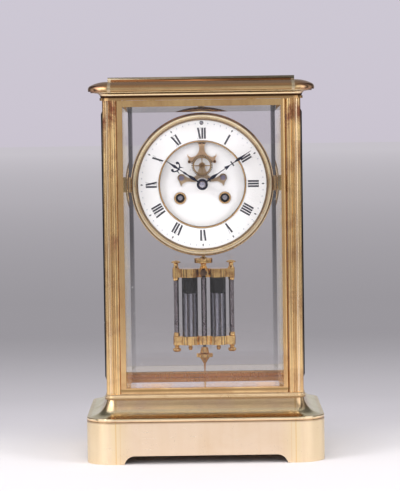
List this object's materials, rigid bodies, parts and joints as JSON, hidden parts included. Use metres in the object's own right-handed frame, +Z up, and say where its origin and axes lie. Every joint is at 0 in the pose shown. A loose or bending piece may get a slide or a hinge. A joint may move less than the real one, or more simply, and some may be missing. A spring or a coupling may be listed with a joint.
{
  "type": "four-glass mantel clock",
  "caption": "Four-glass brass mantel clock with white enamel dial, visible escapement, opening glazed doors, striking movement and swinging mercury-jar pendulum.",
  "frame": {"origin": "centre of the base's underside, on the surface the clock stands on", "axes": "+Z up, the dial and front door face -Y, +X to the right seen from the front"},
  "size_m": [0.186, 0.15, 0.3],
  "materials": {
    "case_brass": "polished, lightly worn",
    "case_screws": "polished",
    "bevelled_glass": "clear, bevelled edges",
    "enamel": "gloss vitreous enamel",
    "blued_steel": "heat-blued, polished",
    "movement_brass": "polished",
    "polished_steel": "polished",
    "bell_metal": "nickelled, polished",
    "pendulum_gilt": "gilt, polished",
    "jar_glass": "clear tube",
    "mercury": "liquid mirror",
    "spring_steel": "oiled"
  },
  "bodies": {
    "case": {"base_plinth": "case_brass", "base_moulding": "case_brass", "base_floor": "case_brass", "lower_frame": "case_brass", "corner_posts": "case_brass", "upper_frame": "case_brass", "cornice": "case_brass", "top_plate": "case_brass", "case_fixings": "case_screws", "side_frames": "case_brass", "side_glasses": "bevelled_glass", "front_plate": "movement_brass", "back_plate": "movement_brass", "movement_brackets": "movement_brass", "dial_pan": "movement_brass", "dial_ring": "enamel", "dial_centre": "enamel", "dial_trim": "case_brass", "bezel": "case_brass", "escape_bridge": "movement_brass", "bell": "bell_metal", "bell_stand": "polished_steel", "suspension_cock": "movement_brass"},
    "front_door": {"front_door_frame": "case_brass", "front_door_glass": "bevelled_glass", "front_door_beads": "case_brass"},
    "back_door": {"back_door_frame": "case_brass", "back_door_glass": "bevelled_glass", "back_door_beads": "case_brass"},
    "minute_hand": {"minute_hand": "blued_steel", "cannon_pinion": "polished_steel"},
    "minute_wheel": {"minute_wheel": "movement_brass"},
    "hour_hand": {"hour_hand": "blued_steel", "hour_wheel": "movement_brass"},
    "centre_arbor": {"centre_wheel": "movement_brass"},
    "going_barrel": {"going_barrel": "movement_brass", "going_spring": "spring_steel"},
    "third_arbor": {"third_wheel": "movement_brass"},
    "escape_arbor": {"escape_wheel": "movement_brass"},
    "going_arbor": {"going_arbor": "polished_steel"},
    "going_click": {"going_click": "polished_steel"},
    "pin_wheel": {"pin_wheel": "movement_brass"},
    "strike_barrel": {"strike_barrel": "movement_brass", "strike_spring": "spring_steel"},
    "locking_arbor": {"locking_wheel": "movement_brass"},
    "fly": {"fly": "movement_brass"},
    "strike_arbor": {"strike_arbor": "polished_steel"},
    "strike_click": {"strike_click": "polished_steel"},
    "hammer": {"hammer": "movement_brass"},
    "pendulum": {"suspension_spring": "polished_steel", "pendulum_rod": "pendulum_gilt", "jar_plate_top": "pendulum_gilt", "jar_plate_bottom": "pendulum_gilt", "jar_rods": "pendulum_gilt", "glass_jars": "jar_glass", "mercury": "mercury"},
    "anchor": {"anchor": "movement_brass", "crutch": "movement_brass"},
    "regulator": {"regulator_arbor": "polished_steel"},
    "rating_nut": {"rating_nut": "pendulum_gilt"}
  },
  "joints": [
    {"name": "front_door_hinge", "type": "hinge", "parent": "case", "child": "front_door", "pos_m": [0.0631, -0.0565, 0.1676], "axis": [0, 0, 1], "range_deg": [0, 95]},
    {"name": "back_door_hinge", "type": "hinge", "parent": "case", "child": "back_door", "pos_m": [-0.0631, 0.0565, 0.1676], "axis": [0, 0, 1], "range_deg": [0, 95]},
    {"name": "minute_turn", "type": "hinge", "parent": "case", "child": "minute_hand", "pos_m": [0, -0.042, 0.2156], "axis": [0, 1, 0], "continuous": true},
    {"name": "minute_wheel_turn", "type": "hinge", "parent": "case", "child": "minute_wheel", "pos_m": [0, -0.027, 0.2036], "axis": [0, 1, 0], "continuous": true},
    {"name": "hour_turn", "type": "hinge", "parent": "case", "child": "hour_hand", "pos_m": [0, -0.041, 0.2156], "axis": [0, 1, 0], "continuous": true},
    {"name": "centre_turn", "type": "hinge", "parent": "case", "child": "centre_arbor", "pos_m": [0, -0.022, 0.2156], "axis": [0, 1, 0], "continuous": true},
    {"name": "going_barrel_turn", "type": "hinge", "parent": "case", "child": "going_barrel", "pos_m": [0.0176, -0.007, 0.2047], "axis": [0, 1, 0], "continuous": true},
    {"name": "third_turn", "type": "hinge", "parent": "case", "child": "third_arbor", "pos_m": [-0.01163, -0.02, 0.22346], "axis": [0, 1, 0], "continuous": true},
    {"name": "escape_turn", "type": "hinge", "parent": "case", "child": "escape_arbor", "pos_m": [0, -0.035, 0.2302], "axis": [0, 1, 0], "continuous": true},
    {"name": "going_wind", "type": "hinge", "parent": "case", "child": "going_arbor", "pos_m": [0.0176, -0.027, 0.2047], "axis": [0, 1, 0], "continuous": true},
    {"name": "going_click_pivot", "type": "hinge", "parent": "case", "child": "going_click", "pos_m": [0.0242, -0.027, 0.19528], "axis": [0, 1, 0], "range_deg": [-8, 0], "stiffness_Nm_per_rad": 0.002},
    {"name": "pin_wheel_turn", "type": "hinge", "parent": "case", "child": "pin_wheel", "pos_m": [-0.02947, 0.008, 0.22166], "axis": [0, 1, 0], "continuous": true},
    {"name": "strike_barrel_turn", "type": "hinge", "parent": "case", "child": "strike_barrel", "pos_m": [-0.0176, 0.005, 0.2047], "axis": [0, 1, 0], "continuous": true},
    {"name": "locking_turn", "type": "hinge", "parent": "case", "child": "locking_arbor", "pos_m": [-0.02287, -0.004, 0.23309], "axis": [0, 1, 0], "continuous": true},
    {"name": "fly_turn", "type": "hinge", "parent": "case", "child": "fly", "pos_m": [-0.01235, -0.011, 0.23692], "axis": [0, 1, 0], "continuous": true},
    {"name": "strike_wind", "type": "hinge", "parent": "case", "child": "strike_arbor", "pos_m": [-0.0176, -0.027, 0.2047], "axis": [0, 1, 0], "continuous": true},
    {"name": "strike_click_pivot", "type": "hinge", "parent": "case", "child": "strike_click", "pos_m": [-0.0242, -0.027, 0.19528], "axis": [0, 1, 0], "range_deg": [0, 8], "stiffness_Nm_per_rad": 0.002},
    {"name": "hammer_pivot", "type": "hinge", "parent": "case", "child": "hammer", "pos_m": [-0.038, 0.03, 0.2096], "axis": [0, 1, 0], "range_deg": [-8, 4], "stiffness_Nm_per_rad": 0.02},
    {"name": "pendulum_swing", "type": "hinge", "parent": "case", "child": "pendulum", "pos_m": [0, 0.021, 0.2475], "axis": [0, 1, 0], "range_deg": [-2, 2]},
    {"name": "anchor_rock", "type": "hinge", "parent": "case", "child": "anchor", "pos_m": [0, -0.035, 0.2475], "axis": [0, 1, 0], "range_deg": [-2, 2]},
    {"name": "regulator_turn", "type": "hinge", "parent": "case", "child": "regulator", "pos_m": [0, -0.037, 0.2638], "axis": [0, 1, 0], "continuous": true},
    {"name": "rating_nut_turn", "type": "hinge", "parent": "pendulum", "child": "rating_nut", "pos_m": [0, 0.021, 0.0743], "axis": [0, 0, 1], "continuous": true}
  ],
  "couplings": [
    {"joint": "minute_wheel_turn", "follows": "minute_turn", "ratio": -0.33333},
    {"joint": "hour_turn", "follows": "minute_turn", "ratio": 0.083333},
    {"joint": "going_barrel_turn", "follows": "centre_turn", "ratio": -0.14286},
    {"joint": "third_turn", "follows": "centre_turn", "ratio": -12},
    {"joint": "escape_turn", "follows": "centre_turn", "ratio": 132},
    {"joint": "strike_barrel_turn", "follows": "pin_wheel_turn", "ratio": -0.14286},
    {"joint": "locking_turn", "follows": "pin_wheel_turn", "ratio": -10},
    {"joint": "fly_turn", "follows": "pin_wheel_turn", "ratio": 90},
    {"joint": "anchor_rock", "follows": "pendulum_swing", "ratio": 1}
  ]
}
